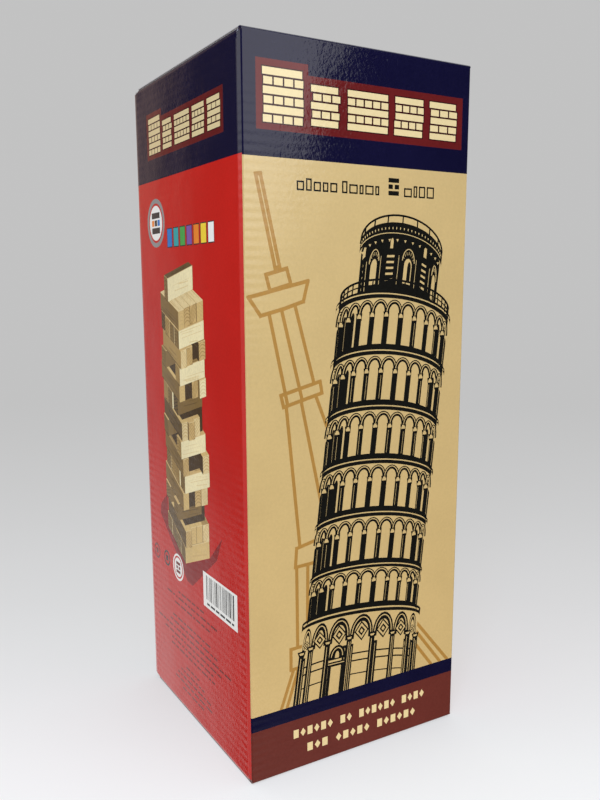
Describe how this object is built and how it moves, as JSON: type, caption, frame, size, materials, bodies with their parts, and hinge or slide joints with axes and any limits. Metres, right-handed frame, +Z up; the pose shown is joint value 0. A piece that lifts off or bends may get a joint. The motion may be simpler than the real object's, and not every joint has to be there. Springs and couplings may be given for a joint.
{
  "type": "boxed stacking tower game",
  "caption": "Upright tuck-end carton of printed micro-flute board with hinged closures, packed with a stack of loose wooden blocks in crossed layers.",
  "frame": {"origin": "centre of the carton's footprint, on the face it stands on", "axes": "+Z up along the carton's height, -Y out of the narrow front panel, -X out of the left side panel"},
  "size_m": [0.1062, 0.1106, 0.29],
  "materials": {
    "printed_tan_board": "gloss laminated print",
    "printed_red_board": "gloss laminated print",
    "printed_navy_board": "gloss laminated print",
    "printed_maroon_board": "gloss laminated print",
    "plain_board": "uncoated",
    "block_wood": "sanded, unfinished"
  },
  "bodies": {
    "carton": {"front_wall": "printed_tan_board", "back_wall": "printed_tan_board", "left_wall": "printed_red_board", "right_wall": "printed_red_board", "glue_flap": "plain_board"},
    "lid": {"lid_panel": "printed_navy_board"},
    "lid_tuck": {"lid_tuck_flap": "printed_navy_board"},
    "top_left_dust": {"top_left_dust_flap": "plain_board"},
    "top_right_dust": {"top_right_dust_flap": "plain_board"},
    "bottom": {"bottom_panel": "printed_maroon_board"},
    "bottom_tuck": {"bottom_tuck_flap": "printed_maroon_board"},
    "bottom_left_dust": {"bottom_left_dust_flap": "plain_board"},
    "bottom_right_dust": {"bottom_right_dust_flap": "plain_board"},
    "layer_01": {"block_layer_01": "block_wood"},
    "layer_02": {"block_layer_02": "block_wood"},
    "layer_03": {"block_layer_03": "block_wood"},
    "layer_04": {"block_layer_04": "block_wood"},
    "layer_05": {"block_layer_05": "block_wood"},
    "layer_06": {"block_layer_06": "block_wood"},
    "layer_07": {"block_layer_07": "block_wood"},
    "layer_08": {"block_layer_08": "block_wood"},
    "layer_09": {"block_layer_09": "block_wood"},
    "layer_10": {"block_layer_10": "block_wood"},
    "layer_11": {"block_layer_11": "block_wood"},
    "layer_12": {"block_layer_12": "block_wood"},
    "layer_13": {"block_layer_13": "block_wood"},
    "layer_14": {"block_layer_14": "block_wood"}
  },
  "joints": [
    {"name": "lid_hinge", "type": "hinge", "parent": "carton", "child": "lid", "pos_m": [0, -0.05535, 0.29], "axis": [1, 0, 0], "range_deg": [0, 240]},
    {"name": "lid_tuck_hinge", "type": "hinge", "parent": "lid", "child": "lid_tuck", "pos_m": [0, 0.05245, 0.29], "axis": [1, 0, 0], "range_deg": [0, 72]},
    {"name": "top_left_dust_hinge", "type": "hinge", "parent": "carton", "child": "top_left_dust", "pos_m": [-0.0531, 0, 0.2885], "axis": [0, -1, 0], "range_deg": [0, 108]},
    {"name": "top_right_dust_hinge", "type": "hinge", "parent": "carton", "child": "top_right_dust", "pos_m": [0.0531, 0, 0.2885], "axis": [0, 1, 0], "range_deg": [0, 108]},
    {"name": "bottom_hinge", "type": "hinge", "parent": "carton", "child": "bottom", "pos_m": [0, -0.05535, 0], "axis": [-1, 0, 0], "range_deg": [0, 240]},
    {"name": "bottom_tuck_hinge", "type": "hinge", "parent": "bottom", "child": "bottom_tuck", "pos_m": [0, 0.05245, 0], "axis": [-1, 0, 0], "range_deg": [0, 72]},
    {"name": "bottom_left_dust_hinge", "type": "hinge", "parent": "carton", "child": "bottom_left_dust", "pos_m": [-0.0531, 0, 0.0015], "axis": [0, 1, 0], "range_deg": [0, 108]},
    {"name": "bottom_right_dust_hinge", "type": "hinge", "parent": "carton", "child": "bottom_right_dust", "pos_m": [0.0531, 0, 0.0015], "axis": [0, -1, 0], "range_deg": [0, 108]},
    {"name": "layer_01_lift", "type": "slide", "parent": "carton", "child": "layer_01", "axis": [0, 0, 1], "range_m": [0, 0.0025]},
    {"name": "layer_02_lift", "type": "slide", "parent": "layer_01", "child": "layer_02", "axis": [0, 0, 1], "range_m": [0, 0.0025]},
    {"name": "layer_03_lift", "type": "slide", "parent": "layer_02", "child": "layer_03", "axis": [0, 0, 1], "range_m": [0, 0.0025]},
    {"name": "layer_04_lift", "type": "slide", "parent": "layer_03", "child": "layer_04", "axis": [0, 0, 1], "range_m": [0, 0.0025]},
    {"name": "layer_05_lift", "type": "slide", "parent": "layer_04", "child": "layer_05", "axis": [0, 0, 1], "range_m": [0, 0.0025]},
    {"name": "layer_06_lift", "type": "slide", "parent": "layer_05", "child": "layer_06", "axis": [0, 0, 1], "range_m": [0, 0.0025]},
    {"name": "layer_07_lift", "type": "slide", "parent": "layer_06", "child": "layer_07", "axis": [0, 0, 1], "range_m": [0, 0.0025]},
    {"name": "layer_08_lift", "type": "slide", "parent": "layer_07", "child": "layer_08", "axis": [0, 0, 1], "range_m": [0, 0.0025]},
    {"name": "layer_09_lift", "type": "slide", "parent": "layer_08", "child": "layer_09", "axis": [0, 0, 1], "range_m": [0, 0.0025]},
    {"name": "layer_10_lift", "type": "slide", "parent": "layer_09", "child": "layer_10", "axis": [0, 0, 1], "range_m": [0, 0.0025]},
    {"name": "layer_11_lift", "type": "slide", "parent": "layer_10", "child": "layer_11", "axis": [0, 0, 1], "range_m": [0, 0.0025]},
    {"name": "layer_12_lift", "type": "slide", "parent": "layer_11", "child": "layer_12", "axis": [0, 0, 1], "range_m": [0, 0.0025]},
    {"name": "layer_13_lift", "type": "slide", "parent": "layer_12", "child": "layer_13", "axis": [0, 0, 1], "range_m": [0, 0.0025]},
    {"name": "layer_14_lift", "type": "slide", "parent": "layer_13", "child": "layer_14", "axis": [0, 0, 1], "range_m": [0, 0.0025]}
  ],
  "couplings": [
    {"joint": "lid_tuck_hinge", "follows": "lid_hinge", "ratio": 0.3},
    {"joint": "top_left_dust_hinge", "follows": "lid_hinge", "ratio": 0.45},
    {"joint": "top_right_dust_hinge", "follows": "lid_hinge", "ratio": 0.45},
    {"joint": "bottom_tuck_hinge", "follows": "bottom_hinge", "ratio": 0.3},
    {"joint": "bottom_left_dust_hinge", "follows": "bottom_hinge", "ratio": 0.45},
    {"joint": "bottom_right_dust_hinge", "follows": "bottom_hinge", "ratio": 0.45}
  ]
}
